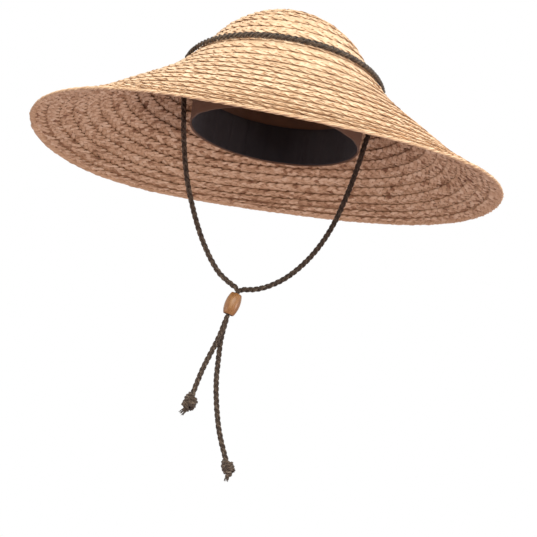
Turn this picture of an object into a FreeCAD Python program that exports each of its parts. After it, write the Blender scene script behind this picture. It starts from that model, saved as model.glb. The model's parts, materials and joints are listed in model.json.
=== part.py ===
import FreeCAD, Part
import math
import os

# A wide-brimmed sun hat sewn from a straw braid, with a plaited crown cord, a
# hanging headband with a sweatband inside it, and a plaited chin cord that
# closes through a wooden bead. Millimetres, +Z up along the crown, -Y to the
# front, origin at the centre of the head opening at the headband's lower edge.

V = FreeCAD.Vector
os.makedirs("parts", exist_ok=True)

# ---------------------------------------------------------------- dimensions
straw_t = 2.6            # thickness of the sewn straw
crown_r = 93.0           # crown radius at the join under the crown cord
row_r = 217.0            # where the last braid row starts
rim_r = 230.0            # mean rim radius
rim_t = 3.4              # thickness of the doubled last row
oval = 1.14              # length over width of the crown at the join
# height of the outside of the straw against radius
profile = [(0.0, 123.5), (30.0, 120.2), (62.0, 102.2), (79.0, 82.6), (93.0, 64.0),
           (110.0, 45.2), (130.0, 29.3), (160.0, 9.3), (195.0, -13.4), (230.0, -28.9)]
# how the brim flares and droops round the rim: cos and sin of 1, 2 and 3 turns
lift_cos = (3.0, 1.7, -0.1)
lift_sin = (3.4, 3.0, -3.6)
wide_cos = (-2.4, 1.2)
wide_sin = (0.1, 4.1)

wire_d = 1.6             # rim wire
wire_r = 226.6

band_t = 1.6             # headband cloth
band_z = (0.0, 18.0, 36.0, 48.0, 57.0)
band_a = (83.5, 83.8, 85.2, 89.0, 95.3)
band_b = (99.0, 99.4, 100.8, 103.6, 108.4)
sweat_t = 1.4            # sweatband inside the headband
sweat_h = 40.0

cord_d = 5.6             # plaited cord
squeezed_d = 4.0         # the same cord inside the bead
pivot_x, pivot_z = 98.2, 48.0
hole_r = 3.1             # side holes for the cord
ring_r0, ring_r1 = 91.3, 3.44

bead_top = V(-9.5, 0.0, -157.0)
bead_dir = V(-0.225, 0.0, -0.9744)
bead_len = 21.5
bead_r = 7.7
bead_end_r = 5.9
bead_bore_r = 4.25

knot_l = V(-35.2, 0.0, -266.6)
knot_r = V(10.8, 0.0, -320.7)
knot_l_r, knot_l_h = 7.0, 15.5
knot_r_r, knot_r_h = 6.3, 13.0


# ---------------------------------------------------------------- the surface
def slopes(pts):
    """Monotone cubic slopes at the profile's points."""
    n = len(pts)
    h = [pts[i + 1][0] - pts[i][0] for i in range(n - 1)]
    d = [(pts[i + 1][1] - pts[i][1]) / h[i] for i in range(n - 1)]
    m = [0.0] * n
    for i in range(1, n - 1):
        w1, w2 = 2 * h[i] + h[i - 1], h[i] + 2 * h[i - 1]
        m[i] = (w1 + w2) / (w1 / d[i - 1] + w2 / d[i]) if d[i - 1] * d[i] > 0 else 0.0
    m[-1] = d[-1] * 0.92
    return m


SLOPES = slopes(profile)


def height(r):
    """Height and slope of the outside at radius r."""
    i = 0
    while i < len(profile) - 2 and r > profile[i + 1][0]:
        i += 1
    (x0, y0), (x1, y1) = profile[i], profile[i + 1]
    h = x1 - x0
    t = (r - x0) / h
    a, b = SLOPES[i] * h, SLOPES[i + 1] * h
    z = (2 * t**3 - 3 * t**2 + 1) * y0 + (t**3 - 2 * t**2 + t) * a + (3 * t**2 - 2 * t**3) * y1 + (t**3 - t**2) * b
    s = ((6 * t**2 - 6 * t) * y0 + (3 * t**2 - 4 * t + 1) * a + (6 * t - 6 * t**2) * y1 + (3 * t**2 - 2 * t) * b) / h
    return z, s


def straw(r, ph, down=0.0):
    """A point of the straw at radius r and angle ph, down millimetres under its outside."""
    w = min(max((r - crown_r) / (rim_r - crown_r), 0.0), 1.0)
    z, s = height(r)
    lift = sum(c * math.cos((k + 1) * ph) for k, c in enumerate(lift_cos))
    lift += sum(c * math.sin((k + 1) * ph) for k, c in enumerate(lift_sin))
    wide = sum(c * math.cos((k + 1) * ph) for k, c in enumerate(wide_cos))
    wide += sum(c * math.sin((k + 1) * ph) for k, c in enumerate(wide_sin))
    q = 1.0 + wide / rim_r * w
    e = 1.0 + (oval - 1.0) * (1.0 - w)
    n = math.hypot(1.0, s)
    nr, nz = -s / n, 1.0 / n
    rr = r * q - nr * down
    return V(rr * math.cos(ph), rr * math.sin(ph) * e, z + lift * w**1.4 - nz * down)


def ring(points):
    c = Part.BSplineCurve()
    c.interpolate(points, PeriodicFlag=True)
    return Part.Wire([c.toShape()])


TURN = [2 * math.pi * k / 48 for k in range(48)]


def straw_ring(r, down):
    return ring([straw(r, p, down) for p in TURN])


def skin(rings):
    return Part.makeLoft(rings, False, False).Faces


def between(a, b):
    return Part.makeRuledSurface(a, b).Faces


def closed(faces, name):
    shell = Part.Shell(faces)
    shell.sewShape()
    solid = Part.Solid(shell)
    if solid.Volume < 0:
        solid.reverse()
    if not solid.isValid():
        print("CHECK", name, "is not valid")
    return solid


def save(shape, name):
    shape.exportStep("parts/%s.step" % name)
    box = shape.BoundBox
    print("%-20s solids %d valid %s volume %.1f mm3 box %.1f..%.1f %.1f..%.1f %.1f..%.1f" % (
        name, len(shape.Solids), shape.isValid(), shape.Volume,
        box.XMin, box.XMax, box.YMin, box.YMax, box.ZMin, box.ZMax))


# ------------------------------------------------------------- crown and brim
crown_radii = [8.0, 18.0, 30.0, 42.0, 54.0, 66.0, 78.0, crown_r]
crown_out = [straw_ring(r, 0.0) for r in crown_radii]
crown_in = [straw_ring(r, straw_t) for r in crown_radii]
crown_braid = closed(
    skin(crown_out) + skin(crown_in) + between(crown_out[-1], crown_in[-1])
    + [Part.Face(crown_out[0]), Part.Face(crown_in[0])], "crown_braid")

brim_radii = [crown_r, 103.0, 116.0, 134.0, 156.0, 180.0, 200.0, row_r]
brim_out = [straw_ring(r, 0.0) for r in brim_radii]
brim_in = [straw_ring(r, straw_t) for r in brim_radii]
brim_braid = closed(
    skin(brim_out) + skin(brim_in) + between(brim_out[0], brim_in[0]) + between(brim_out[-1], brim_in[-1]),
    "brim_braid")
for side in (-1, 1):
    brim_braid = brim_braid.cut(Part.makeCylinder(hole_r, 60.0, V(side * pivot_x, 0, 30.0), V(0, 0, 1)))

# the last row, doubled over the rim wire and rounded at its edge
gap = 0.5 * (rim_t - straw_t)
row_rings = [straw_ring(row_r, -gap), straw_ring(222.0, -gap), straw_ring(rim_r - 1.6, -gap),
             straw_ring(rim_r - 0.3, 0.5 * straw_t - 0.9), straw_ring(rim_r, 0.5 * straw_t),
             straw_ring(rim_r - 0.3, 0.5 * straw_t + 0.9), straw_ring(rim_r - 1.6, straw_t + gap),
             straw_ring(222.0, straw_t + gap), straw_ring(row_r, straw_t + gap)]
rim_braid_row = closed(skin(row_rings) + between(row_rings[0], row_rings[-1]), "rim_braid_row")


# ------------------------------------------------------------------- the tubes
def path(points, name=""):
    """Straight runs joined by tangent arcs, each as large as its two runs allow."""
    pts = [V(p) for p in points]
    n = len(pts)
    cut = {}
    radii = []
    for i in range(1, n - 1):
        a, b, c = pts[i - 1], pts[i], pts[i + 1]
        u, v = (a - b).normalize(), (c - b).normalize()
        half = 0.5 * (math.pi - math.acos(max(-1.0, min(1.0, u.dot(v)))))
        t = 0.45 * min((a - b).Length, (c - b).Length)
        radii.append(round(t / math.tan(half), 1))
        mid = (u + v).normalize()
        rad = t / math.tan(half)
        centre = b + mid * (rad / math.cos(half))
        cut[i] = (b + u * t, centre - mid * rad, b + v * t)
    edges = []
    here = pts[0]
    for i in range(1, n - 1):
        edges.append(Part.LineSegment(here, cut[i][0]).toShape())
        edges.append(Part.Arc(*cut[i]).toShape())
        here = cut[i][2]
    edges.append(Part.LineSegment(here, pts[-1]).toShape())
    if name:
        runs = [round((pts[k + 1] - pts[k]).Length, 1) for k in range(n - 1)]
        print(name, "radii", radii, "runs", runs)
    return Part.Wire(edges)


def tube(points, d, name=""):
    line = path(points, name)
    first = line.Edges[0]
    start = first.valueAt(first.FirstParameter)
    tangent = first.tangentAt(first.FirstParameter)
    section = Part.Wire([Part.makeCircle(d / 2, start, tangent)])
    solid = line.makePipeShell([section], True, False)
    solid = solid.Solids[0] if solid.Solids else solid
    if name:
        print("   length %.1f volume %.1f section x length %.1f" % (
            line.Length, solid.Volume, line.Length * math.pi * d * d / 4))
    return solid


# the hoop starts and ends at the back, where its two ends butt
wire_points = [straw(wire_r, math.radians(90.4 + 359.2 * k / 48), 0.5 * straw_t) for k in range(49)]
rim_wire = tube(wire_points, wire_d, name="rim_wire")
rim_braid_row = rim_braid_row.cut(rim_wire)


# ----------------------------------------------------------------- crown cords
def over(ph, up):
    """A point of the crown cord's centre line, up millimetres off the straw."""
    return straw(ring_r0 + ring_r1 * math.cos(ph)**4, ph, -up)


seat = 0.5 * cord_d + 0.5
front = [math.radians(a) for a in (0, -8, -17, -29, -41, -53, -65, -77, -90, -103, -115, -127, -139, -151, -163, -172, 180)]
front_points = [V(pivot_x, 0, 51.1), V(pivot_x, -0.4, 65.2)] + [over(a, seat) for a in front[1:-1]]
front_points += [V(-pivot_x, -0.4, 65.2), V(-pivot_x, 0, 51.1)]
crown_cord_front = tube(front_points, cord_d, name="crown_cord_front")
back = [math.radians(a) for a in (4.6, 16, 28, 40, 53, 65, 77, 90, 103, 115, 127, 140, 152, 164, 175.4)]
crown_cord_back = tube([over(a, seat) for a in back], cord_d, name="crown_cord_back")

# stitches that hold the crown cord, through the straw from inside
tacks = []
for deg in (-158, -124, -90, -56, -22, 24, 57, 90, 123, 156):
    ph = math.radians(deg)
    low, high = over(ph, -(straw_t + 0.7)), over(ph, seat)
    for side in (-1, 1):
        turn = V(-math.sin(ph), math.cos(ph), 0) * (1.6 * side)
        tacks.append(Part.makeCylinder(0.35, (high - low).Length, low + turn, high - low))
    a, b = low + V(-math.sin(ph), math.cos(ph), 0) * -1.6, low + V(-math.sin(ph), math.cos(ph), 0) * 1.6
    tacks.append(Part.makeCylinder(0.35, (b - a).Length, a, b - a))
tack_solids = []
for k in range(0, len(tacks), 3):
    tack_solids += tacks[k].fuse([tacks[k + 1], tacks[k + 2]]).Solids


# ------------------------------------------------------------ headband and lining
def band_ring(z, inset):
    i = 0
    while i < len(band_z) - 2 and z > band_z[i + 1]:
        i += 1
    t = (z - band_z[i]) / (band_z[i + 1] - band_z[i])
    a = band_a[i] + t * (band_a[i + 1] - band_a[i]) - inset
    b = band_b[i] + t * (band_b[i + 1] - band_b[i]) - inset
    return ring([V(a * math.cos(p), b * math.sin(p), z) for p in TURN])


out_rings = [band_ring(z, 0.0) for z in band_z]
in_rings = [band_ring(z, band_t) for z in band_z]
headband = closed(skin(out_rings) + skin(in_rings) + between(out_rings[0], in_rings[0])
                  + between(out_rings[-1], in_rings[-1]), "headband")
lining_rings = [band_ring(z, band_t + sweat_t) for z in band_z]
lining = closed(skin(in_rings) + skin(lining_rings) + between(in_rings[0], lining_rings[0])
                + between(in_rings[-1], lining_rings[-1]), "lining")
sweatband = lining.common(Part.makeBox(300, 300, sweat_h - 1.0, V(-150, -150, 1.0))).Solids[0]

# running stitches that hold the headband's top edge to the straw
stitch_solids = []
for k in range(40):
    ph = 2 * math.pi * (k + 0.5) / 40
    a = V((band_a[-1] - 1.2) * math.cos(ph - 0.035), (band_b[-1] - 1.2) * math.sin(ph - 0.035), 55.6)
    b = V((band_a[-1] - 1.2) * math.cos(ph + 0.035), (band_b[-1] - 1.2) * math.sin(ph + 0.035), 55.6)
    stitch_solids.append(Part.makeCylinder(0.35, (b - a).Length, a, b - a))

# ------------------------------------------------------------------ chin cord
y_left, y_right = -2.95, 2.95
bead_bottom = bead_top + bead_dir * bead_len
left_points = [V(-pivot_x, 0, pivot_z), V(-93.2, -0.6, 22.0), V(-88.7, -1.6, -5.0), V(-83.4, -2.2, -30.0),
               V(-76.6, -2.6, -55.0), V(-66.8, -2.8, -80.0), V(-56.2, -2.9, -103.0), V(-44.0, -2.9, -123.5),
               V(-31.0, -2.95, -139.8), V(-21.0, -2.95, -146.6), V(-14.2, -2.95, -150.2), V(-9.9, -2.95, -152.2)]
right_points = [V(pivot_x, 0, pivot_z), V(90.0, 0.3, 22.0), V(86.9, 0.8, -3.0), V(82.9, 1.4, -27.0),
                V(78.0, 1.8, -49.0), V(71.8, 2.2, -73.0), V(62.0, 2.5, -96.5), V(49.8, 2.7, -116.5),
                V(34.8, 2.85, -133.5), V(20.0, 2.95, -144.0), V(8.0, 2.95, -149.4), V(-1.2, 2.95, -151.0), V(-7.3, 2.95, -152.2)]
above = bead_top - bead_dir * 1.1
left_points.append(V(above.x, y_left, above.z))
right_points.append(V(above.x, y_right, above.z))


def with_ball(solid, centre):
    return solid.fuse(Part.makeSphere(cord_d / 2, centre)).removeSplitter()


chin_cord_left = with_ball(tube(left_points, cord_d, name="chin_cord_left"), left_points[0])
chin_cord_right = with_ball(tube(right_points, cord_d, name="chin_cord_right"), right_points[0])

stopper = [(bead_bore_r, 0.0), (bead_end_r, 0.0), (bead_end_r + 0.9, 2.2), (bead_r - 0.2, 6.0), (bead_r, bead_len / 2),
           (bead_r - 0.2, bead_len - 6.0), (bead_end_r + 0.9, bead_len - 2.2), (bead_end_r, bead_len), (bead_bore_r, bead_len)]
outline = Part.BSplineCurve()
outline.interpolate([V(r, 0, h) for r, h in stopper[1:-1]])
half = Part.Wire([Part.makeLine(V(bead_bore_r, 0, 0), V(bead_end_r, 0, 0)), outline.toShape(),
                  Part.makeLine(V(bead_end_r, 0, bead_len), V(bead_bore_r, 0, bead_len)),
                  Part.makeLine(V(bead_bore_r, 0, bead_len), V(bead_bore_r, 0, 0))])
stopper_bead = Part.Face(half).revolve(V(0, 0, 0), V(0, 0, 1), 360)
stopper_bead = stopper_bead.transformGeometry(FreeCAD.Matrix()) if not stopper_bead.Solids else stopper_bead
turn = FreeCAD.Rotation(V(0, 0, 1), bead_dir)
stopper_bead.Placement = FreeCAD.Placement(bead_top, turn)


def squeezed(y):
    """The cord where the bead grips it."""
    a = above + V(0, y, 0)
    return Part.makeCylinder(squeezed_d / 2, bead_len + 1.8, a, bead_dir)


def knot(centre, r, h, lean):
    """The outer shape of an overhand knot."""
    c = Part.BSplineCurve()
    c.interpolate([V(2.9, 0, -h / 2), V(r * 0.93, 0, -h * 0.28), V(r, 0, 0), V(r * 0.9, 0, h * 0.27), V(2.9, 0, h / 2)])
    w = Part.Wire([Part.makeLine(V(0, 0, -h / 2), V(2.9, 0, -h / 2)), c.toShape(),
                   Part.makeLine(V(2.9, 0, h / 2), V(0, 0, h / 2)), Part.makeLine(V(0, 0, h / 2), V(0, 0, -h / 2))])
    s = Part.Face(w).revolve(V(0, 0, 0), V(0, 0, 1), 360)
    s.Placement = FreeCAD.Placement(centre, FreeCAD.Rotation(V(0, 0, -1), lean))
    return s


below = bead_bottom + bead_dir * 0.6
tail_left_points = [V(below.x, y_left, below.z), V(-16.6, -2.95, -190.6), V(-19.3, -2.9, -203.0), V(-24.0, -2.4, -217.5),
                    V(-29.0, -1.4, -233.5), V(-32.4, -0.6, -249.0), V(-34.4, 0, -260.4)]
tail_right_points = [V(below.x, y_right, below.z), V(-16.3, 2.95, -191.0), V(-17.0, 2.95, -205.0), V(-15.9, 2.8, -222.0),
                     V(-14.9, 2.4, -239.0), V(-12.3, 1.8, -255.0), V(-8.6, 1.2, -271.0), V(-4.1, 0.7, -287.0),
                     V(1.9, 0.2, -302.0), V(8.2, 0, -315.4)]
lean_left, lean_right = V(-0.28, 0, -0.96), V(0.40, 0, -0.92)
knot_left = knot(knot_l, knot_l_r, knot_l_h, lean_left)
knot_right = knot(knot_r, knot_r_r, knot_r_h, lean_right)
cord_tail_left = tube(tail_left_points, cord_d, name="cord_tail_left").fuse(squeezed(-2.05)).removeSplitter().cut(knot_left)
cord_tail_right = tube(tail_right_points, cord_d, name="cord_tail_right").fuse(squeezed(2.05)).removeSplitter().cut(knot_right)

# the plait's loose ends under the knots
end_left = tube([knot_l + V(-1.4, 0, -5.2), V(-38.6, 0, -274.6), V(-42.2, -0.5, -279.6)], 5.0).cut(knot_left)
end_right = tube([knot_r + V(0.6, 0, -4.4), V(11.9, 0, -328.0), V(11.3, 0.4, -334.2)], 5.0).cut(knot_right)

for shape, name in (
        (crown_braid, "crown_braid"), (brim_braid, "brim_braid"), (rim_braid_row, "rim_braid_row"),
        (rim_wire, "rim_wire"), (headband, "headband"), (sweatband, "sweatband"),
        (Part.makeCompound(stitch_solids), "headband_stitches"),
        (crown_cord_front, "crown_cord_front"), (crown_cord_back, "crown_cord_back"),
        (Part.makeCompound(tack_solids), "crown_cord_tacks"),
        (chin_cord_left, "chin_cord_left"), (chin_cord_right, "chin_cord_right"),
        (stopper_bead, "stopper_bead"),
        (cord_tail_left, "cord_tail_left"), (cord_tail_right, "cord_tail_right"),
        (knot_left, "knot_left"), (knot_right, "knot_right"),
        (end_left, "cord_end_left"), (end_right, "cord_end_right")):
    save(shape, name)
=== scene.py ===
import json
import math

import bpy
import numpy as np
from mathutils import Matrix, Vector

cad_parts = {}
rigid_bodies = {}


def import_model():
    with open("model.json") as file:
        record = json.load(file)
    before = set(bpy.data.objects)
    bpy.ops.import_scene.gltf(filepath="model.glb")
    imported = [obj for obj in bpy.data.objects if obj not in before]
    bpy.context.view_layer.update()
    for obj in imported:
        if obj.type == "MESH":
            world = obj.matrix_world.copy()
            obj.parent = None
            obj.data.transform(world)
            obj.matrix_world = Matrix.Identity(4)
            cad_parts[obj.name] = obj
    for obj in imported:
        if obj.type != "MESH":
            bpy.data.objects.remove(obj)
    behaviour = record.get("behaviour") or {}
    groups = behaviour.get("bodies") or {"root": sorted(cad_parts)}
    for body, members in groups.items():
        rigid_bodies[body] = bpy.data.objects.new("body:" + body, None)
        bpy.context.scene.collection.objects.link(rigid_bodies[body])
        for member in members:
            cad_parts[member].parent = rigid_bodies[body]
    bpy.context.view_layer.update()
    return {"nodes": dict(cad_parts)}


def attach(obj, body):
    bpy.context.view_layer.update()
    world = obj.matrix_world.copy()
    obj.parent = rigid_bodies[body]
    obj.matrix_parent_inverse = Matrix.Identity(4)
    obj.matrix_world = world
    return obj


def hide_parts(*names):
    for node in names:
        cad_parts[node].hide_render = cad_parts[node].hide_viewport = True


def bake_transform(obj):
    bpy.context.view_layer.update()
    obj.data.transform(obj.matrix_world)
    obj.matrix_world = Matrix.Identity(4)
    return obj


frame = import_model()
rng = np.random.default_rng(7)
MM = 0.001

# ---------------------------------------------------------------- camera, at the photograph's viewing angle
cam_data = bpy.data.cameras.new("camera")
cam_data.sensor_width = 36.0
cam_data.lens = 36.0 * 1368.76 / 537
cam_data.clip_start, cam_data.clip_end = 0.05, 50
cam = bpy.data.objects.new("camera", cam_data)
bpy.context.scene.collection.objects.link(cam)
cam.matrix_world = Matrix(((0.984735, -0.173318, -0.016051, -0.00481),
                           (-0.043853, -0.157798, -0.986497, -1.29903),
                           (0.168445, 0.972142, -0.16299, -0.34206),
                           (0, 0, 0, 1)))
bpy.context.scene.camera = cam
bpy.context.scene.view_settings.view_transform = "Standard"


# ---------------------------------------------------------------- the hat's shape, as the CAD model has it (mm)
CROWN_R, RIM_R, OVAL = 93.0, 230.0, 1.14
PROFILE = [(0, 123.5), (30, 120.2), (62, 102.2), (79, 82.6), (93, 64.0), (110, 45.2), (130, 29.3), (160, 9.3), (195, -13.4), (230, -28.9)]
LIFT_COS, LIFT_SIN = (3.0, 1.7, -0.1), (3.4, 3.0, -3.6)
WIDE_COS, WIDE_SIN = (-2.4, 1.2), (0.1, 4.1)
KR = np.array([k[0] for k in PROFILE], float)
KZ = np.array([k[1] for k in PROFILE], float)
_d = np.diff(KZ) / np.diff(KR)
KM = np.zeros(len(KR))
for _i in range(1, len(KR) - 1):
    _a, _b = _d[_i - 1], _d[_i]
    if _a * _b > 0:
        _h0, _h1 = KR[_i] - KR[_i - 1], KR[_i + 1] - KR[_i]
        _w0, _w1 = 2 * _h1 + _h0, _h1 + 2 * _h0
        KM[_i] = (_w0 + _w1) / (_w0 / _a + _w1 / _b)
KM[-1] = _d[-1] * 0.92


def height(r):
    r = np.asarray(r, float)
    x = np.clip(r, 0, RIM_R)
    i = np.clip(np.searchsorted(KR, x, "right") - 1, 0, len(KR) - 2)
    h = KR[i + 1] - KR[i]
    t = (x - KR[i]) / h
    z = ((1 + 2 * t) * (1 - t) ** 2 * KZ[i] + t * (1 - t) ** 2 * h * KM[i] + t * t * (3 - 2 * t) * KZ[i + 1] + t * t * (t - 1) * h * KM[i + 1])
    s = ((6 * t * t - 6 * t) * KZ[i] / h + (3 * t * t - 4 * t + 1) * KM[i] + (6 * t - 6 * t * t) * KZ[i + 1] / h + (3 * t * t - 2 * t) * KM[i + 1])
    over = np.maximum(r - RIM_R, 0)
    return z + s * over, s


def straw(r, ph, down=0.0):
    """A point on the straw, 'down' mm under the outside."""
    r, ph, down = np.broadcast_arrays(np.asarray(r, float), np.asarray(ph, float), np.asarray(down, float))
    w = np.clip((r - CROWN_R) / (RIM_R - CROWN_R), 0, 1)
    z, s = height(r)
    lift = sum(c * np.cos((k + 1) * ph) for k, c in enumerate(LIFT_COS)) + sum(c * np.sin((k + 1) * ph) for k, c in enumerate(LIFT_SIN))
    wide = sum(c * np.cos((k + 1) * ph) for k, c in enumerate(WIDE_COS)) + sum(c * np.sin((k + 1) * ph) for k, c in enumerate(WIDE_SIN))
    q = 1 + wide / RIM_R * w
    e = 1 + (OVAL - 1) * (1 - w)
    n = np.hypot(1, s)
    nr, nz = -s / n, 1 / n
    rr = r * q - nr * down
    return np.stack([rr * np.cos(ph), rr * np.sin(ph) * e, z + lift * w ** 1.4 - nz * down], -1)


def unit(v):
    return v / np.maximum(np.linalg.norm(v, axis=-1, keepdims=True), 1e-12)


# ---------------------------------------------------------------- mesh helpers
def build(name, verts, quads, polys=(), attrs=None, smooth=True):
    """A mesh object from points in mm, an array of quads and a list of other polygons."""
    me = bpy.data.meshes.new(name)
    verts = np.asarray(verts, float)
    quads = np.asarray(quads, np.int64).reshape(-1, 4)
    polys = [np.asarray(p, np.int64) for p in polys]
    loops = np.concatenate([quads.ravel(), *polys]) if polys else quads.ravel()
    total = np.concatenate([np.full(len(quads), 4), np.array([len(p) for p in polys], np.int64)]).astype(np.int64)
    start = np.concatenate([[0], np.cumsum(total)[:-1]])
    me.vertices.add(len(verts))
    me.vertices.foreach_set("co", (verts * MM).astype(np.float32).ravel())
    me.loops.add(len(loops))
    me.loops.foreach_set("vertex_index", loops.astype(np.int32))
    me.polygons.add(len(total))
    me.polygons.foreach_set("loop_start", start.astype(np.int32))
    me.polygons.foreach_set("loop_total", total.astype(np.int32))
    me.update(calc_edges=True)
    me.validate()
    me.polygons.foreach_set("use_smooth", np.full(len(me.polygons), smooth))
    for key, val in (attrs or {}).items():
        val = np.asarray(val, np.float32)
        if val.ndim == 1:
            me.attributes.new(key, "FLOAT", "POINT").data.foreach_set("value", val)
        else:
            me.attributes.new(key, "FLOAT_VECTOR", "POINT").data.foreach_set("vector", val.ravel())
    ob = bpy.data.objects.new(name, me)
    bpy.context.scene.collection.objects.link(ob)
    return ob


class Pile:
    """Collects swept tubes and ribbons into one mesh."""

    def __init__(self):
        self.v, self.q, self.p, self.tone, self.fib, self.n = [], [], [], [], [], 0

    def sweep(self, c, u, n, sect, tone, along, ident, closed=False, caps=True, painted_shading=None):
        """sect is (k, 2) or (len(c), k, 2): across u and along n."""
        c = np.asarray(c, float)
        sect = np.broadcast_to(sect, (len(c),) + np.shape(sect)[-2:])
        k = sect.shape[1]
        v = c[:, None] + sect[..., 0:1] * u[:, None] + sect[..., 1:2] * n[:, None]
        m = len(c)
        rows = m if closed else m - 1
        i = np.arange(rows)[:, None] * k
        i2 = (np.arange(rows)[:, None] + 1) % m * k
        j, j2 = np.arange(k)[None], (np.arange(k)[None] + 1) % k
        self.q.append(np.stack([i + j, i + j2, i2 + j2, i2 + j], -1).reshape(-1, 4) + self.n)
        if caps and not closed:
            self.p.append(np.arange(k)[::-1] + self.n)
            self.p.append(np.arange(k) + (m - 1) * k + self.n)
        self.v.append(v.reshape(-1, 3))
        # the optional per-corner tone offsets are painted shade and painted light on a strand's edges and faces
        self.tone.append((np.broadcast_to(tone, (m,))[:, None] + (np.zeros(k) if painted_shading is None else np.asarray(painted_shading, float))[None]).ravel())
        f = np.zeros((m, k, 3))
        f[..., 0] = np.asarray(along)[:, None]
        f[..., 1] = np.cumsum(np.linalg.norm(np.diff(sect[0], axis=0, prepend=sect[0][:1]), axis=1))[None]
        f[..., 2] = ident
        self.fib.append(f.reshape(-1, 3))
        self.n += m * k

    def done(self, name):
        tone, fib = np.concatenate(self.tone), np.concatenate(self.fib)
        return build(name, np.concatenate(self.v), np.concatenate(self.q), self.p, {"tone": tone, "fib": fib})


def tangents(c, closed=False):
    if closed:
        return unit(np.roll(c, -1, 0) - np.roll(c, 1, 0))
    return unit(np.gradient(c, axis=0))


def ring(k, ru, rn=None, turn=0.0):
    t = np.arange(k) / k * 2 * np.pi + turn
    return np.stack([ru * np.cos(t), (ru if rn is None else rn) * np.sin(t)], -1)


def run(c):
    return np.concatenate([[0], np.cumsum(np.linalg.norm(np.diff(c, axis=0), axis=1))])


def resample(c, step):
    a = run(c)
    n = max(4, int(round(a[-1] / step)) + 1)
    s = np.linspace(0, a[-1], n)
    return np.stack([np.interp(s, a, c[:, i]) for i in range(3)], -1)


def carried(c, start=None):
    """Two axes across a line, carried along it without twist."""
    t = tangents(c)
    n = np.zeros_like(c)
    s = np.array([0, 1.0, 0]) if start is None else np.asarray(start, float)
    n[0] = unit(s - (s @ t[0]) * t[0])
    for i in range(1, len(c)):
        v = n[i - 1] - (n[i - 1] @ t[i]) * t[i]
        n[i] = v / np.linalg.norm(v)
    return np.cross(t, n), n


# ---------------------------------------------------------------- cords: the route's points, on one smooth line
CORD_D = 5.6
BEAD_TOP, BEAD_DIR, BEAD_LEN = np.array([-9.5, 0, -157.0]), unit(np.array([-0.225, 0, -0.9744])), 21.5
BEAD_BOTTOM = BEAD_TOP + BEAD_DIR * BEAD_LEN
ABOVE, BELOW = BEAD_TOP - BEAD_DIR * 1.1, BEAD_BOTTOM + BEAD_DIR * 0.6
ROUTES = {
    "chin_cord_left": [(-98.2, 0, 48), (-93.2, -0.6, 22), (-88.7, -1.6, -5), (-83.4, -2.2, -30), (-76.6, -2.6, -55), (-66.8, -2.8, -80),
                       (-56.2, -2.9, -103), (-44, -2.9, -123.5), (-31, -2.95, -139.8), (-21, -2.95, -146.6), (-14.2, -2.95, -150.2), (-9.9, -2.95, -152.2), (ABOVE[0], -2.95, ABOVE[2])],
    "chin_cord_right": [(98.2, 0, 48), (90, 0.3, 22), (86.9, 0.8, -3), (82.9, 1.4, -27), (78, 1.8, -49), (71.8, 2.2, -73), (62, 2.5, -96.5),
                        (49.8, 2.7, -116.5), (34.8, 2.85, -133.5), (20, 2.95, -144), (8, 2.95, -149.4), (-1.2, 2.95, -151), (-7.3, 2.95, -152.2), (ABOVE[0], 2.95, ABOVE[2])],
    "cord_tail_left": [(BELOW[0], -2.95, BELOW[2]), (-16.6, -2.95, -190.6), (-19.3, -2.9, -203), (-24, -2.4, -217.5), (-29, -1.4, -233.5), (-32.4, -0.6, -249), (-34.4, 0, -260.4)],
    "cord_tail_right": [(BELOW[0], 2.95, BELOW[2]), (-16.3, 2.95, -191), (-17, 2.95, -205), (-15.9, 2.8, -222), (-14.9, 2.4, -239), (-12.3, 1.8, -255), (-8.6, 1.2, -271),
                        (-4.1, 0.7, -287), (1.9, 0.2, -302), (8.2, 0, -315.4)],
}


def over(deg, up):
    ph = math.radians(deg)
    return tuple(straw(91.3 + 3.44 * math.cos(ph) ** 4, ph, -up))


ROUTES["crown_cord_front"] = ([(98.2, 0, 51.1), (98.2, -0.4, 65.2)] + [over(d, 2.6) for d in (-8, -17, -29, -41, -53, -65, -77, -90, -103, -115, -127, -139, -151, -163, -172)]
                              + [(-98.2, -0.4, 65.2), (-98.2, 0, 51.1)])
ROUTES["crown_cord_back"] = [over(d, 2.6) for d in (4.6, 16, 28, 40, 53, 65, 77, 90, 103, 115, 127, 140, 152, 164, 175.4)]


def smooth_line(name, points):
    """The points of one NURBS line that has the route's points as its control points, in mm."""
    data = bpy.data.curves.new(name + "_line", "CURVE")
    data.dimensions = "3D"
    spline = data.splines.new("NURBS")
    spline.points.add(len(points) - 1)
    for p, co in zip(spline.points, points):
        p.co = (co[0] * MM, co[1] * MM, co[2] * MM, 1)
    spline.order_u = 3
    spline.use_endpoint_u = True
    spline.resolution_u = 24
    ob = bpy.data.objects.new(name + "_line", data)
    bpy.context.scene.collection.objects.link(ob)
    me = bpy.data.meshes.new_from_object(ob)
    co = np.array([v.co for v in me.vertices], float) / MM
    bpy.data.objects.remove(ob)
    bpy.data.meshes.remove(me)
    bpy.data.curves.remove(data)
    return co


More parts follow.
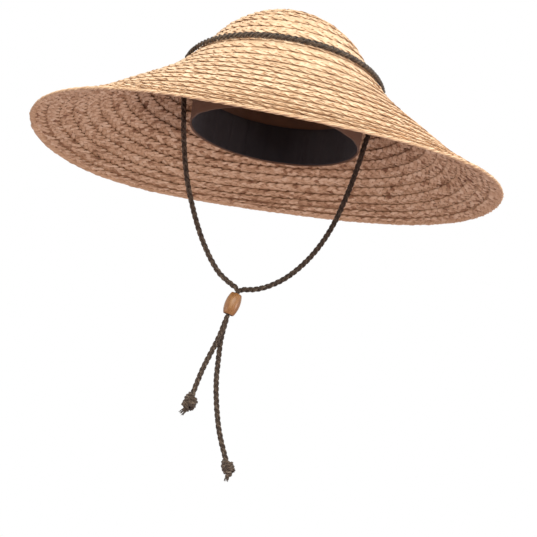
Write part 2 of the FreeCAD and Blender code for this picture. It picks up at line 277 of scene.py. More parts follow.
def plait(pile, c, u, n, size=1.0, period=16.5, at=0.0, seed=0, step_tone=1.0, pinch=None):
    """Three strands of four yarns each, plaited along the line c. size scales the cord along it."""
    g = np.random.default_rng(100 + seed)
    a = run(c) + at
    size = np.broadcast_to(size, a.shape)[:, None]
    spread = size if pinch is None else size * np.broadcast_to(pinch, a.shape)[:, None]
    for j in range(3):
        phi = 2 * np.pi * (a / period + j / 3)
        mid = c + spread * (1.5 * np.sin(phi)[:, None] * u + 0.78 * np.sin(2 * phi)[:, None] * n)
        for m in range(4):
            psi = 2 * np.pi * (a / 8.4 + m / 4 + j * 0.13)
            wob = 1 + 0.10 * np.interp(a, np.arange(a[0] - 5, a[-1] + 9, 4.0), g.uniform(-1, 1, len(np.arange(a[0] - 5, a[-1] + 9, 4.0))))
            line = mid + size * wob[:, None] * 0.70 * (np.cos(psi)[:, None] * u + np.sin(psi)[:, None] * n)
            t = tangents(line)
            nn = unit(n - (n * t).sum(1, keepdims=True) * t)
            uu = np.cross(t, nn)
            radius = (0.66 * size[:, 0] * (0.94 + 0.12 * g.random()))[:, None, None] * ring(7, 1.0)[None]
            pile.sweep(line, uu, nn, radius, g.uniform(-1, 1), a, 7.3 * (j * 4 + m) + seed * 31)


def axes_to(c, ref):
    t = tangents(c)
    n = unit(ref - (ref * t).sum(1, keepdims=True) * t)
    return np.cross(t, n), n


lines = {k: smooth_line(k, v) for k, v in ROUTES.items()}
cords, paths = {}, {}
FRONT = np.array([0, -1.0, 0])
for side, name in ((-1, "chin_cord_left"), (1, "chin_cord_right")):
    c = resample(lines[name], 1.15)
    left_of = run(c)[-1] - run(c)
    near = np.clip(1 - left_of / 9, 0, 1) ** 2
    size = 1 - 0.26 * near
    first = np.clip(run(c) / 5, 0, 1)
    c[:, 1] = c[:, 1] - side * 0.9 * near
    inside = c[-1] + BEAD_DIR * np.arange(1, 7)[:, None] * 1.1          # the cord's end goes on into the bead
    c = np.concatenate([c, inside])
    size = np.concatenate([size, np.full(6, size[-1])])
    first = np.concatenate([first, np.ones(6)])
    pile = Pile()
    u, n = axes_to(c, np.broadcast_to(FRONT, c.shape))
    plait(pile, c, u, n, size * (0.9 + 0.1 * first), at=3.0, seed=1 if side < 0 else 2, pinch=0.55 + 0.45 * first)
    cords[name], paths[name] = pile.done(name), c
for side, name in ((-1, "cord_tail_left"), (1, "cord_tail_right")):
    c = resample(lines[name], 1.15)
    near = np.clip(1 - run(c) / 9, 0, 1) ** 2
    c[:, 1] = c[:, 1] - side * 0.9 * near
    inside = c[0] - BEAD_DIR * np.arange(5, 0, -1)[:, None] * 1.1
    size = np.concatenate([np.full(5, 0.74), 1 - 0.26 * near])
    c = np.concatenate([inside, c])
    pile = Pile()
    u, n = axes_to(c, np.broadcast_to(FRONT, c.shape))
    plait(pile, c, u, n, size, at=1.0, seed=3 if side < 0 else 4)
    cords[name], paths[name] = pile.done(name), c
for name in ("crown_cord_front", "crown_cord_back"):
    c = resample(lines[name], 1.15)
    ph = np.arctan2(c[:, 1] / OVAL, c[:, 0])
    out = np.stack([np.cos(ph) * 0.8, np.sin(ph) * 0.8, np.full(len(ph), 0.6)], -1)
    ends = np.clip(np.minimum(run(c), run(c)[-1] - run(c)) / 14, 0, 1)[:, None] if name.endswith("front") else 1.0
    ref = out * ends + (1 - ends) * np.broadcast_to(FRONT, c.shape) if name.endswith("front") else out
    pile = Pile()
    u, n = axes_to(c, ref)
    plait(pile, c, u, n, 1.1, period=18.0, at=0.0, seed=5 if name.endswith("front") else 6)
    cords[name] = pile.done(name)


# ---------------------------------------------------------------- the straw: a five-strand plait sewn round and round from the crown's centre
_rr = np.linspace(0, 233, 2600)
_zz, _ss = height(_rr)
SIG = np.concatenate([[0], np.cumsum(np.hypot(np.diff(_rr), np.diff(_zz)))])
ROWS = 22
PITCH = float(np.interp(RIM_R, _rr, SIG)) / ROWS
JOG, JOG_AT = 0.19, math.radians(56)           # each row steps out to the next at the back of the hat


def r_of(sig):
    return np.interp(sig, SIG, _rr)


def row_centre(t):
    n = np.minimum(np.floor(t), ROWS - 1)
    f = np.clip((t - n) / JOG, 0, 1)
    f = f * f * (3 - 2 * f)
    f = np.where(t >= ROWS, 1.0, f)
    return PITCH * (n - 0.5 + f)


def azimuth(t):
    return JOG_AT + 2 * np.pi * t


_t = np.linspace(0.085, ROWS + 0.13, 60000)
_c = straw(r_of(row_centre(_t)), azimuth(_t), 1.3)
ALONG = run(_c)
P_LEN, STRANDS, TRAVEL = 52.0, 5, 5.7


def straw_rows(pile, t0, t1, seed, amp=0.58, lean=0.42, width=5.3, roll=0.15, under=1.15, edge=1.0, inner=-7.2):
    g = np.random.default_rng(seed)
    a0, a1 = np.interp([t0, t1], _t, ALONG)
    local = np.array([0.4, 1, 2, 3, 4, 4.6])
    lift = np.array([-0.4, -1, 1, -1, 1, 0.4])
    side = np.array([1, 0.6, 0.2, -0.2, -0.6, -1])
    hexa = np.array([(-0.5, 0), (-0.3, 0.42), (0.3, 0.42), (0.5, 0), (0.3, -0.42), (-0.3, -0.42)])
    for k in range(STRANDS):
        m0, m1 = int(math.floor((a0 / P_LEN + k / STRANDS) * 2)) - 1, int(math.ceil((a1 / P_LEN + k / STRANDS) * 2)) + 1
        m = np.arange(m0, m1)
        q = (5 * m[:, None] + local[None]).ravel()
        a = P_LEN * (q / 10 - k / STRANDS)
        y = ((np.where(m % 2 == 0, 1, -1)[:, None] * side[None]) * TRAVEL).ravel()
        h = np.tile(lift, len(m))
        keep = (a >= a0 - 4.6) & (a <= a1 + 0.1)
        a, y, h = a[keep], y[keep], h[keep]
        grid = np.arange(a[0] - 40, a[-1] + 80, 23.0)
        y = y * (1 + 0.08 * np.interp(a, grid, g.uniform(-1, 1, len(grid)))) + 0.45 * np.interp(a, grid, g.uniform(-1, 1, len(grid))) + 0.35 * g.uniform(-1, 1, len(a))
        h = h + g.uniform(-0.4, 0.4, len(h))
        wide = width * (1 + 0.10 * np.interp(a, grid, g.uniform(-1, 1, len(grid))))
        reed = np.floor(a / 165.0 + g.random())
        tones = g.normal(0, 0.55, int(reed.max() - reed.min()) + 2)
        tone = tones[(reed - reed.min()).astype(int)] + 0.35 * g.normal(0, 1, len(a))
        t = np.interp(a, ALONG, _t)
        tuck = np.clip((t - ROWS) / 0.03, 0, 1) * 0.35
        lower = 1.3 - amp * h - np.where(y > 0, lean, under) * y / 6.5 + tuck
        ease = np.clip((t - 21) / JOG, 0, 1)
        y = np.where(y > 0, y * (1 - (1 - edge) * ease), y)
        sig = np.maximum(row_centre(t) + y, 0.4)
        down = lower
        r, ph = r_of(sig), azimuth(t)
        c = straw(r, ph, down)
        nrm = unit(straw(r, ph, down - 1) - straw(r, ph, down + 1))
        tan = tangents(c)
        nrm = unit(nrm - (nrm * tan).sum(1, keepdims=True) * tan)
        u = np.cross(tan, nrm)
        # each strand lies a little over its neighbour, and no two pieces lie quite alike
        sect = hexa[None] * np.stack([wide, np.ones_like(wide)], -1)[:, None]
        tilt = roll + 0.13 * np.interp(a, grid, g.uniform(-1, 1, len(grid))) + 0.06 * g.normal(0, 1, len(a))
        ct, st = np.cos(tilt)[:, None], np.sin(tilt)[:, None]
        sect = np.stack([sect[..., 0] * ct - sect[..., 1] * st, sect[..., 0] * st + sect[..., 1] * ct], -1)
        # the underside is flecked: paler where the straw is split, darker where it was folded
        under_side = np.clip(np.random.default_rng(seed * 10 + k).normal(0, 0.95, (len(a), 1)), -1.2, 1.6) * np.array([0.25, 0, 0, 0.25, 1, 1])
        # the per-corner tone offsets paint shade along both edges of each strand, where neighbours meet, and paint the
        # outer face lighter (painted light) and the inner face darker (painted shade)
        pile.sweep(c, u, nrm, sect, np.clip(tone, -1, 1), a, k * 11.7 + seed, painted_shading=np.array([-0.75, 0.2, 0.2, -1.25, -0.2, -0.2]) + under_side)
    # the plait's middle: a thin strip that closes the gaps between the strands, coloured dark as painted shade in those
    # gaps
    n = max(8, int((a1 - a0) / 7.5))
    a = np.linspace(a0, a1, n)
    t = np.interp(a, ALONG, _t)
    tuck = np.clip((t - ROWS) / 0.03, 0, 1) * 0.35
    pts = []
    for y, d in ((inner, 0.14), (7.4, 0.14), (7.4, -0.14), (inner, -0.14)):
        ease = np.clip((t - 21) / JOG, 0, 1)
        sig = np.maximum(row_centre(t) + (y * (1 - (1 - edge) * ease) if y > 0 else y), 0.3)
        pts.append(straw(r_of(sig), azimuth(t), 1.3 - 0.35 * y / 6.5 + d + tuck))
    v = np.stack(pts, 1).reshape(-1, 3)
    i, j = np.arange(n - 1)[:, None] * 4, np.arange(4)[None]
    j2 = (j + 1) % 4
    pile.q.append(np.stack([i + j, i + j2, i + 4 + j2, i + 4 + j], -1).reshape(-1, 4) + pile.n)
    pile.p += [np.arange(4)[::-1] + pile.n, np.arange(4) + (n - 1) * 4 + pile.n]
    pile.v.append(v)
    # painted shade: the strip's lower face is darkest and its upper face less dark
    pile.tone.append(np.tile((-1.7, -1.7, -0.45, -0.45), n))
    pile.fib.append(np.stack([np.repeat(a, 4), np.tile(np.arange(4) * 3.0, n), np.full(4 * n, 3.0)], -1))
    pile.n += len(v)


pile = Pile()
straw_rows(pile, 0.085, 9.0, 21)
crown_braid = pile.done("crown_braid")
pile = Pile()
straw_rows(pile, 9.0, 21.0, 22, under=1.55)
brim_braid = pile.done("brim_braid")
pile = Pile()
straw_rows(pile, 21.0, 22.12, 23, amp=0.6, lean=0.35, under=1.5, edge=0.52, inner=-9.5)
# the rolled edge over the wire: a smooth bundle of fine straw
ph = np.linspace(0, 2 * np.pi, 1141)[:-1]
mid = straw(227.35, ph, 1.45)
nrm = unit(straw(227.35, ph, 0) - straw(227.35, ph, 2))
tan = tangents(mid, True)
u = np.cross(tan, nrm)
along = np.linspace(0, 1440, len(ph))
pile.sweep(mid, u, nrm, ring(12, 2.4, 1.25), -0.9, along, 59.0, closed=True)
g = np.random.default_rng(31)
grid = np.linspace(0, 1440, 97)
for k in range(5):
    wob = np.interp(along, grid, np.concatenate([(w := g.uniform(-1, 1, 96)), w[:1]]))
    wob2 = np.interp(along, grid, np.concatenate([(w := g.uniform(-1, 1, 96)), w[:1]]))
    ang = 2 * np.pi * (along / 1440.0 * 67 + k / 5) + 0.7 * wob
    c = mid + u * (1.7 * np.cos(ang) + 0.35 * wob2)[:, None] + nrm * (1.05 * np.sin(ang) + 0.25 * wob)[:, None]
    t = tangents(c, True)
    nn = unit(nrm - (nrm * t).sum(1, keepdims=True) * t)
    size = (1 + 0.25 * wob2)[:, None, None] * ring(6, 1.3, 0.62)[None]
    pile.sweep(c, np.cross(t, nn), nn, size, np.clip(-0.1 + 0.8 * wob, -1, 1), along, 60 + k * 3.1, closed=True)
rim_braid_row = pile.done("rim_braid_row")


# ---------------------------------------------------------------- headband and sweatband: cloth rings under the crown
BAND_Z = (0, 18, 36, 48, 57)
BAND_A = (83.5, 83.8, 85.2, 89.0, 95.3)
BAND_B = (99.0, 99.4, 100.8, 103.6, 108.4)


def band_ring(z, ph, off=0.0):
    a, b = np.interp(z, BAND_Z, BAND_A), np.interp(z, BAND_Z, BAND_B)
    x, y = a * np.cos(ph), b * np.sin(ph)
    n = unit(np.stack([x / a ** 2, y / b ** 2, np.zeros_like(x)], -1))
    return np.stack([x, y, np.broadcast_to(z, x.shape)], -1) + n * np.asarray(off)[..., None]


def cloth_ring(name, zs, outer, inner, m=360, pucker=0.0, seed=0, hem=0.0, slack=0.0):
    """A thin closed ring of cloth: outside, lower edge, inside, upper edge."""
    g = np.random.default_rng(seed)
    ph = np.arange(m) / m * 2 * np.pi
    zs = np.asarray(zs, float)
    wave = sum(g.uniform(0.3, 1) * np.sin(f * ph + g.uniform(0, 6.3)) for f in (3, 5, 9, 14, 23)) / 3.0
    fine = sum(g.uniform(0.3, 1) * np.sin(f * ph + g.uniform(0, 6.3)) for f in (31, 47, 63)) / 2.0
    rows, fibs = [], []
    up = (zs - zs[0]) / (zs[-1] - zs[0])
    path = [(z, f, 1) for z, f in zip(zs, up)] + [(z, f, -1) for z, f in zip(zs[::-1], up[::-1])]
    for z, f, side in path:
        bulge = pucker * (wave * (1 - f) ** 0.7 + 0.5 * fine * (0.3 + 0.7 * f)) + slack * np.sin(np.pi * f)
        fold = hem * math.exp(-((z - zs[0] - 5.5) / 0.9) ** 2)
        seam = 0.45 * np.exp(-(((ph - np.pi / 2) * 100 / 7.0) ** 8))          # the cloth's ends lap at the back
        off = (outer if side > 0 else inner) + bulge * 1.0 - side * fold + side * seam
        zz = z + (0.9 * pucker * wave * (1 - f) ** 2 if z < zs[-1] else 0.0)
        p = band_ring(z, ph, off)
        p[:, 2] = zz
        rows.append(p)
        fibs.append(np.stack([ph / (2 * np.pi) * 600, np.full(m, z), np.full(m, side * 3.0)], -1))
    v = np.concatenate(rows)
    k = len(path)
    i, j = np.arange(k)[:, None] * m, np.arange(m)[None]
    i2, j2 = (np.arange(k)[:, None] + 1) % k * m, (j + 1) % m
    q = np.stack([i + j, i + j2, i2 + j2, i2 + j], -1).reshape(-1, 4)[:, ::-1]
    return build(name, v, q, (), {"tone": np.zeros(len(v)), "fib": np.concatenate(fibs)})


headband = cloth_ring("headband", [0, 0.5, 1.5, 3, 4.6, 5.4, 6.2, 8, 12, 17, 22, 28, 34, 40, 45, 50, 54, 57], 0.0, -1.5, pucker=0.45, seed=3, hem=0.28, slack=0.5)
sweatband = cloth_ring("sweatband", [1.2, 1.8, 3, 5, 6, 7, 10, 14, 19, 24, 29, 34, 37, 39, 40], -1.75, -2.95, pucker=0.25, seed=4, hem=0.2)


# ---------------------------------------------------------------- bead, knots and loose ends
def lathe(name, prof, m=72, wob=0.0, seed=0):
    """prof is (radius, along) round a closed section; the axis is +Z before it is placed."""
    g = np.random.default_rng(seed)
    ph = np.arange(m) / m * 2 * np.pi
    prof = np.array(prof, float)
    w = 1 + wob * sum(g.uniform(0.2, 1) * np.sin(f * ph + g.uniform(0, 6.3)) for f in (2, 3, 5))
    v = np.stack([prof[:, 0:1] * np.cos(ph) * w, prof[:, 0:1] * np.sin(ph) * w, np.broadcast_to(prof[:, 1:2], (len(prof), m))], -1).reshape(-1, 3)
    k = len(prof)
    i, j = np.arange(k)[:, None] * m, np.arange(m)[None]
    i2, j2 = (np.arange(k)[:, None] + 1) % k * m, (j + 1) % m
    q = np.stack([i + j, i + j2, i2 + j2, i2 + j], -1).reshape(-1, 4)
    return v, q


zs = np.linspace(0, BEAD_LEN, 33)
barrel = 7.4 - 2.2 * np.abs(2 * zs / BEAD_LEN - 1.0) ** 2.1
body = list(zip(barrel[1:-1], zs[1:-1]))
prof = ([(4.25, 0.8), (4.35, 0.35), (4.6, 0.06), (4.85, 0.0), (5.15, 0.2)] + body[1:-1]
        + [(5.15, BEAD_LEN - 0.2), (4.85, BEAD_LEN), (4.6, BEAD_LEN - 0.06), (4.35, BEAD_LEN - 0.35), (4.25, BEAD_LEN - 0.8)]
        + [(4.25, z) for z in np.linspace(BEAD_LEN - 2.5, 2.5, 8)])
v, q = lathe("stopper_bead", prof, wob=0.004, seed=5)
bx = unit(np.cross(FRONT, BEAD_DIR))
by = np.cross(BEAD_DIR, bx)
v = BEAD_TOP + v[:, 0:1] * bx + v[:, 1:2] * by + v[:, 2:3] * BEAD_DIR
loc = np.stack([(v - BEAD_TOP) @ bx, (v - BEAD_TOP) @ by, (v - BEAD_TOP) @ BEAD_DIR], -1)
stopper_bead = build("stopper_bead", v, q, (), {"fib": loc, "tone": np.zeros(len(v))})


def knot(name, centre, r, h, lean, seed):
    """An overhand knot of the plait: in at the top, twice round itself, out below."""
    th = np.linspace(0.0, 4.3 * np.pi, 60)
    f = np.linspace(0, 1, 60)
    rad = r - 2.2
    loops = np.stack([rad * np.cos(th), rad * 0.92 * np.sin(th), (h / 2 - 3.2) * (1 - 2 * f) + 1.5 * np.sin(th + 0.7)], -1)
    pts = np.concatenate([[(0, 0, h / 2 + 2.0), (0.6, 0, h / 2 - 0.5)], loops, [(-0.3, 0, -h / 2 + 0.6), (0, 0, -h / 2 - 1.5)]])
    for _ in range(2):
        pts[1:-1] = 0.5 * pts[1:-1] + 0.25 * (pts[2:] + pts[:-2])
    ax = -unit(np.array(lean, float))
    bx = unit(np.cross(FRONT, ax))
    by = np.cross(ax, bx)
    c = resample(centre + pts[:, 0:1] * bx + pts[:, 1:2] * by + pts[:, 2:3] * ax, 1.15)
    pile = Pile()
    mid = centre + ax * np.clip((c - centre) @ ax, -h / 2, h / 2)[:, None]
    ref = c - mid + 1e-3 * bx
    far = np.clip(np.linalg.norm(c - mid, axis=1) / 2.5, 0, 1)[:, None]
    u, n = axes_to(c, unit(ref) * far + (1 - far) * FRONT)
    plait(pile, c, u, n, 1.18, period=15.0, at=0.0, seed=seed)
    # the turn that the loops close over
    core = centre + ax * np.linspace(-h / 2 + 2.5, h / 2 - 2.5, 9)[:, None]
    u, n = carried(core)
    size = np.sin(np.linspace(0.35, np.pi - 0.35, 9))[:, None, None] * ring(14, r - 3.6)[None]
    pile.sweep(core, u, n, size, -0.4, run(core), 5.0)
    return pile.done(name)


KNOT_L, KNOT_R = np.array([-35.2, 0, -266.6]), np.array([10.8, 0, -320.7])
knot_left = knot("knot_left", KNOT_L, 7.0, 15.5, (-0.28, 0, -0.96), 7)
knot_right = knot("knot_right", KNOT_R, 6.3, 13.0, (0.40, 0, -0.92), 8)


def tuft(name, points, spread, count, seed, longest):
    """The plait's yarns, cut off and loose below the knot."""
    g = np.random.default_rng(seed)
    base = smooth_line(name, points)
    total = run(base)[-1]
    pile = Pile()
    for k in range(count):
        reach = g.uniform(0.62, 1.0) * total * (longest if k < 2 else 1.0)
        s = np.linspace(0, reach, 12)
        a = run(base)
        c = np.stack([np.interp(s, a, base[:, i]) for i in range(3)], -1)
        d = unit(base[-1] - base[-6])
        c = c + np.maximum(s - total, 0)[:, None] * d
        u, n = carried(c)
        ang, rad = g.uniform(0, 2 * np.pi), 1.9 * math.sqrt(g.random())
        f = (s / total)[:, None]
        out = (math.cos(ang) * u + math.sin(ang) * n)
        c = c + out * (rad * (1 + spread * f ** 1.6)) + 0.35 * f * (np.sin(s * 0.9 + g.uniform(0, 6))[:, None] * u + np.cos(s * 0.7 + g.uniform(0, 6))[:, None] * n)
        u, n = carried(c)
        size = (0.46 * (1 - 0.55 * (s / s[-1]) ** 2))[:, None, None] * ring(6, 1.0)[None]
        pile.sweep(c, u, n, size, g.uniform(-1, 1), s, 4.1 * k)
    return pile.done(name)


end_left = tuft("cord_end_left", [tuple(KNOT_L + (-1.4, 0, -5.2)), (-38.6, 0, -274.6), (-42.2, -0.5, -279.6)], 0.8, 26, 11, 1.25)
end_right = tuft("cord_end_right", [tuple(KNOT_R + (0.6, 0, -4.4)), (11.9, 0, -328), (11.3, 0.4, -334.2)], 0.15, 22, 12, 1.06)


# ---------------------------------------------------------------- materials
def lin(r, g, b):
    """An sRGB colour, 0 to 255, as the shader wants it."""
    f = lambda c: c / 12.92 if c <= 0.04045 else ((c + 0.055) / 1.055) ** 2.4
    return (f(r / 255), f(g / 255), f(b / 255), 1.0)


class Mat:
    def __init__(self, name, rough=0.6, spec=0.3):
        self.m = bpy.data.materials.new(name)
        self.m.use_nodes = True
        self.t = self.m.node_tree
        self.b = self.t.nodes["Principled BSDF"]
        self.b.inputs["Roughness"].default_value = rough
        self.b.inputs["Specular IOR Level"].default_value = spec

    def add(self, kind, **sets):
        n = self.t.nodes.new(kind)
        for k, v in sets.items():
            setattr(n, k, v)
        return n

    def link(self, a, b):
        self.t.links.new(a, b)

    def attr(self, name, out):
        return self.add("ShaderNodeAttribute", attribute_name=name).outputs[out]

    def scaled(self, vec, x, y, z):
        n = self.add("ShaderNodeVectorMath", operation="MULTIPLY")
        self.link(vec, n.inputs[0])
        n.inputs[1].default_value = (x, y, z)
        return n.outputs[0]

    def noise(self, vec, scale, detail=3.0, rough=0.55):
        n = self.add("ShaderNodeTexNoise")
        n.inputs["Scale"].default_value = scale
        n.inputs["Detail"].default_value = detail
        n.inputs["Roughness"].default_value = rough
        self.link(vec, n.inputs["Vector"])
        return n.outputs["Fac"]

    def math(self, op, a, b=None, c=None, clamp=False):
        n = self.add("ShaderNodeMath", operation=op, use_clamp=clamp)
        for i, x in enumerate((a, b, c)):
            if x is None:
                continue
            if isinstance(x, (int, float)):
                n.inputs[i].default_value = x
            else:
                self.link(x, n.inputs[i])
        return n.outputs[0]

    def ramp(self, fac, stops, interp="LINEAR"):
        n = self.add("ShaderNodeValToRGB")
        n.color_ramp.interpolation = interp
        e = n.color_ramp.elements
        while len(e) < len(stops):
            e.new(0.5)
        for x, (p, c) in zip(e, stops):
            x.position, x.color = p, c
        self.link(fac, n.inputs["Fac"])
        return n.outputs["Color"]

    def mix(self, fac, a, b, mode="MIX"):
        n = self.add("ShaderNodeMix", data_type="RGBA", blend_type=mode)
        for sock, x in ((n.inputs[0], fac), (n.inputs[6], a), (n.inputs[7], b)):
            if isinstance(x, (int, float)):
                sock.default_value = x
            elif isinstance(x, tuple):
                sock.default_value = x
            else:
                self.link(x, sock)
        return n.outputs[2]

    def bump(self, h, strength, distance):
        n = self.add("ShaderNodeBump")
        n.inputs["Strength"].default_value = strength
        n.inputs["Distance"].default_value = distance
        self.link(h, n.inputs["Height"])
        self.link(n.outputs["Normal"], self.b.inputs["Normal"])

    def colour(self, c):
        self.link(c, self.b.inputs["Base Color"])

    def roughness(self, r):
        self.link(r, self.b.inputs["Roughness"])


def straw_material(name, pale=0.0):
    m = Mat(name, spec=0.2)
    tone, fib = m.attr("tone", "Fac"), m.attr("fib", "Vector")
    streak = m.noise(m.scaled(fib, 0.045, 1.9, 1.0), 1.0, 4.0, 0.6)
    fleck = m.noise(m.scaled(fib, 0.32, 0.8, 1.0), 1.0, 2.0)
    obj = m.add("ShaderNodeTexCoord").outputs["Object"]
    stain = m.noise(obj, 14.0, 3.0)
    f = m.math("MULTIPLY_ADD", tone, 0.24, 0.66 + pale)
    f = m.math("ADD", f, m.math("MULTIPLY_ADD", streak, 0.62, -0.31))
    f = m.math("ADD", f, m.math("MULTIPLY_ADD", fleck, 0.40, -0.20))
    f = m.math("ADD", f, m.math("MULTIPLY_ADD", stain, 0.16, -0.08), clamp=True)
    col = m.ramp(f, [(0.0, lin(118, 79, 55)), (0.22, lin(166, 125, 92)), (0.45, lin(210, 173, 135)), (0.7, lin(232, 198, 160)), (1.0, lin(247, 219, 184))])
    m.colour(col)
    m.roughness(m.math("MULTIPLY_ADD", streak, 0.3, 0.52))
    fine = m.noise(m.scaled(fib, 0.12, 5.0, 1.0), 1.0, 3.0)
    crumple = m.noise(m.scaled(fib, 0.16, 0.7, 1.0), 1.0, 2.0)
    m.bump(m.math("ADD", fine, m.math("MULTIPLY", crumple, 1.6)), 0.7, 0.0006)
    return m.m


def yarn_material(name, shift=0.0):
    m = Mat(name, rough=0.85, spec=0.15)
    tone, fib = m.attr("tone", "Fac"), m.attr("fib", "Vector")
    fleck = m.noise(m.scaled(fib, 0.21, 0.5, 1.0), 1.0, 2.0)
    fibre = m.noise(m.scaled(fib, 1.3, 4.5, 1.0), 1.0, 3.0)
    f = m.math("MULTIPLY_ADD", tone, 0.24, 0.5 + shift)
    f = m.math("ADD", f, m.math("MULTIPLY_ADD", fleck, 0.7, -0.35))
    f = m.math("ADD", f, m.math("MULTIPLY_ADD", fibre, 0.3, -0.15), clamp=True)
    col = m.ramp(f, [(0.0, lin(40, 32, 26)), (0.3, lin(72, 59, 47)), (0.55, lin(98, 84, 69)), (0.78, lin(128, 116, 100)), (1.0, lin(160, 149, 132))])
    m.colour(col)
    m.b.inputs["Sheen Weight"].default_value = 0.25
    m.b.inputs["Sheen Roughness"].default_value = 0.5
    twist = m.add("ShaderNodeTexWave", wave_type="BANDS", bands_direction="DIAGONAL")
    twist.inputs["Scale"].default_value = 1.0
    twist.inputs["Distortion"].default_value = 1.2
    m.link(m.scaled(fib, 0.42, 0.6, 0.0), twist.inputs["Vector"])
    m.bump(m.math("ADD", twist.outputs["Fac"], m.math("MULTIPLY", fibre, 0.8)), 0.6, 0.00025)
    return m.m


def cloth_material(name, dark, light, thread=0.62, rough=0.9, sheen=0.15, rib=0.0):
    m = Mat(name, rough=rough, spec=0.12)
    fib = m.attr("fib", "Vector")
    mm = []
    for direction, sx, sy in (("X", thread, 0.0), ("Y", 0.0, thread)):
        w = m.add("ShaderNodeTexWave", wave_type="BANDS", bands_direction=direction)
        w.inputs["Scale"].default_value = 1.0
        w.inputs["Distortion"].default_value = 0.6
        w.inputs["Detail"].default_value = 1.0
        m.link(m.scaled(fib, 0.55 / thread if direction == "X" else 0.0, 0.55 / thread if direction == "Y" else 0.0, 0.0), w.inputs["Vector"])
        mm.append(w.outputs["Fac"])
    twill = m.math("MAXIMUM", mm[0], mm[1])
    if rib:
        r = m.add("ShaderNodeTexWave", wave_type="BANDS", bands_direction="X")
        r.inputs["Scale"].default_value = 1.0
        m.link(m.scaled(fib, rib, 0.0, 0.0), r.inputs["Vector"])
        twill = m.math("MULTIPLY_ADD", r.outputs["Fac"], 1.2, twill)
    broad = m.noise(m.scaled(fib, 0.05, 0.09, 1.0), 1.0, 3.0)
    fuzz = m.noise(m.scaled(fib, 1.4, 1.4, 1.0), 1.0, 2.0)
    f = m.math("ADD", m.math("MULTIPLY", twill, 0.42), m.math("ADD", m.math("MULTIPLY", broad, 0.42), m.math("MULTIPLY", fuzz, 0.28)), clamp=True)
    m.colour(m.mix(f, dark, light))
    m.b.inputs["Sheen Weight"].default_value = sheen
    m.bump(m.math("ADD", twill, m.math("ADD", m.math("MULTIPLY", fuzz, 0.5), m.math("MULTIPLY", broad, 3.0))), 0.7, 0.0006)
    return m.m


def wood_material(name):
    m = Mat(name, spec=0.45)
    fib = m.attr("fib", "Vector")
    warp = m.noise(m.scaled(fib, 0.14, 0.14, 0.05), 1.0, 2.0)
    grain = m.noise(m.scaled(fib, 0.9, 0.9, 0.05), 1.0, 5.0, 0.65)
    pore = m.noise(m.scaled(fib, 2.6, 2.6, 0.14), 1.0, 3.0)
    f = m.math("ADD", m.math("MULTIPLY", grain, 0.62), m.math("ADD", m.math("MULTIPLY", pore, 0.22), m.math("MULTIPLY", warp, 0.28)), clamp=True)
    m.colour(m.ramp(f, [(0.32, lin(86, 50, 24)), (0.46, lin(130, 86, 46)), (0.60, lin(156, 110, 62)), (0.76, lin(180, 138, 88))]))
    m.roughness(m.math("MULTIPLY_ADD", grain, 0.25, 0.28))
    m.b.inputs["Coat Weight"].default_value = 0.25
    m.b.inputs["Coat Roughness"].default_value = 0.25
    m.bump(grain, 0.25, 0.0003)
    return m.m


def thread_material(name, a, b):
    m = Mat(name, rough=0.7, spec=0.25)
    obj = m.add("ShaderNodeTexCoord").outputs["Object"]
    n = m.noise(obj, 900.0, 2.0)
    m.colour(m.mix(n, a, b))
    m.bump(m.noise(obj, 2600.0, 2.0), 0.4, 0.0001)
    return m.m


def wire_material(name):
    m = Mat(name, spec=0.5)
    m.b.inputs["Metallic"].default_value = 1.0
    obj = m.add("ShaderNodeTexCoord").outputs["Object"]
    n = m.noise(obj, 400.0, 3.0)
    m.colour(m.mix(n, lin(128, 126, 122), lin(172, 170, 166)))
    m.roughness(m.math("MULTIPLY_ADD", n, 0.25, 0.3))
    m.bump(n, 0.15, 0.0001)
    return m.m


straw_m, rim_m = straw_material("straw_plait"), straw_material("straw_rim", 0.0)
yarn_m, tail_m, crown_yarn_m = yarn_material("cord_yarn", -0.13), yarn_material("cord_yarn_dark", -0.15), yarn_material("crown_cord_yarn", -0.20)
band_m = cloth_material("band_twill", lin(92, 66, 48), lin(150, 116, 90))
sweat_m = cloth_material("sweat_knit", lin(14, 13, 14), lin(38, 36, 38), rib=0.9, rough=0.95, sheen=0.2)
bead_m = wood_material("bead_wood")
thread_m = thread_material("thread_tan", lin(150, 118, 86), lin(196, 166, 130))
wire_m = wire_material("rim_wire_steel")


def dress(ob, mat, slot, body, *nodes):
    ob.data.materials.clear()
    ob.data.materials.append(mat)
    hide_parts(*nodes)
    if body:
        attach(ob, body)


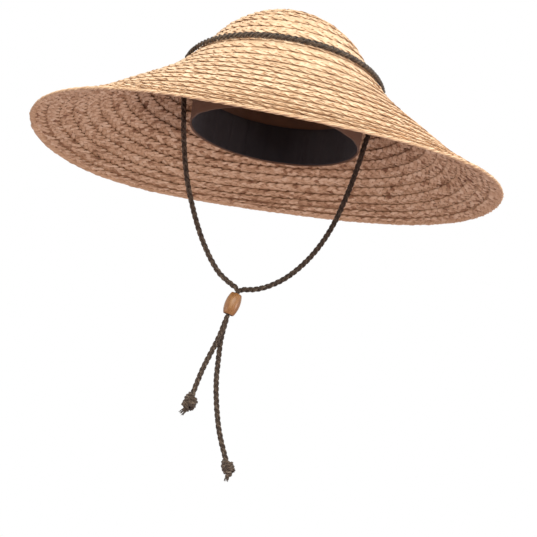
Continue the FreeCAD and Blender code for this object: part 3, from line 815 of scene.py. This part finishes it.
for n in ("headband_stitches", "crown_cord_tacks", "rim_wire"):
    ob = frame["nodes"][n]
    mat = wire_m if n == "rim_wire" else thread_m
    if not ob.data.materials:
        ob.data.materials.append(mat)
    for s in ob.material_slots:
        s.material = mat
dress(crown_braid, straw_m, "straw", "hat", "crown_braid")
dress(brim_braid, straw_m, "straw", "hat", "brim_braid")
dress(rim_braid_row, rim_m, "rim_straw", "hat", "rim_braid_row")
dress(headband, band_m, "band_cloth", "hat", "headband")
dress(sweatband, sweat_m, "sweat_cloth", "hat", "sweatband")
dress(cords["crown_cord_front"], crown_yarn_m, "cord", "hat", "crown_cord_front")
dress(cords["crown_cord_back"], crown_yarn_m, "cord", "hat", "crown_cord_back")
dress(stopper_bead, bead_m, "bead_wood", "bead", "stopper_bead")
for ob, node in ((knot_left, "knot_left"), (knot_right, "knot_right"), (end_left, "cord_end_left"), (end_right, "cord_end_right")):
    dress(ob, tail_m, "cord", "chin_strap", node)
for name in ("chin_cord_left", "chin_cord_right"):
    dress(cords[name], yarn_m, "cord", None, name)
    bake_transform(cords[name])
for name, last in (("cord_tail_left", KNOT_L), ("cord_tail_right", KNOT_R)):
    dress(cords[name], tail_m, "cord", None, name)
    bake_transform(cords[name])


# ---------------------------------------------------------------- floor, light and backdrop
bpy.ops.mesh.primitive_circle_add(vertices=96, radius=12.0, fill_type="NGON", location=(0, 0, -2.2))
floor = bpy.context.active_object
floor.name = "floor"
fm = Mat("floor_pale", rough=0.9, spec=0.1)
fo = fm.add("ShaderNodeTexCoord").outputs["Object"]
fm.colour(fm.mix(fm.noise(fo, 3.0), lin(176, 157, 161), lin(184, 165, 169)))
floor.data.materials.append(fm.m)

world = bpy.data.worlds.new("studio")
bpy.context.scene.world = world
world.use_nodes = True
wt = world.node_tree
bg = wt.nodes["Background"]
bg.inputs["Color"].default_value = (1.0, 1.0, 1.0, 1.0)
bg.inputs["Strength"].default_value = 1.0


def area(name, at, look, size, watts, colour=(1, 1, 1)):
    d = bpy.data.lights.new(name, "AREA")
    d.shape, d.size, d.energy, d.color = "DISK", size, watts, colour
    ob = bpy.data.objects.new(name, d)
    bpy.context.scene.collection.objects.link(ob)
    ob.location = at
    ob.rotation_mode = "QUATERNION"
    ob.rotation_quaternion = (Vector(look) - Vector(at)).to_track_quat("-Z", "Y")
    return ob


area("key", (0.15, -2.35, 1.1), (0, 0, 0.03), 2.4, 63, (1.0, 0.98, 0.94))
area("low_left", (-1.6, -0.6, -0.45), (0.05, 0, 0), 0.3, 3.0, (1.0, 0.86, 0.90))
area("low_right", (1.6, -0.6, -0.45), (-0.05, 0, 0), 0.3, 7.0, (1.0, 0.86, 0.90))

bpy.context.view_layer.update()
for o in bpy.context.scene.objects:
    if o.type == "MESH" and not o.hide_render:
        print("piece", o.name, "verts", len(o.data.vertices), "tris", sum(len(p.vertices) - 2 for p in o.data.polygons))
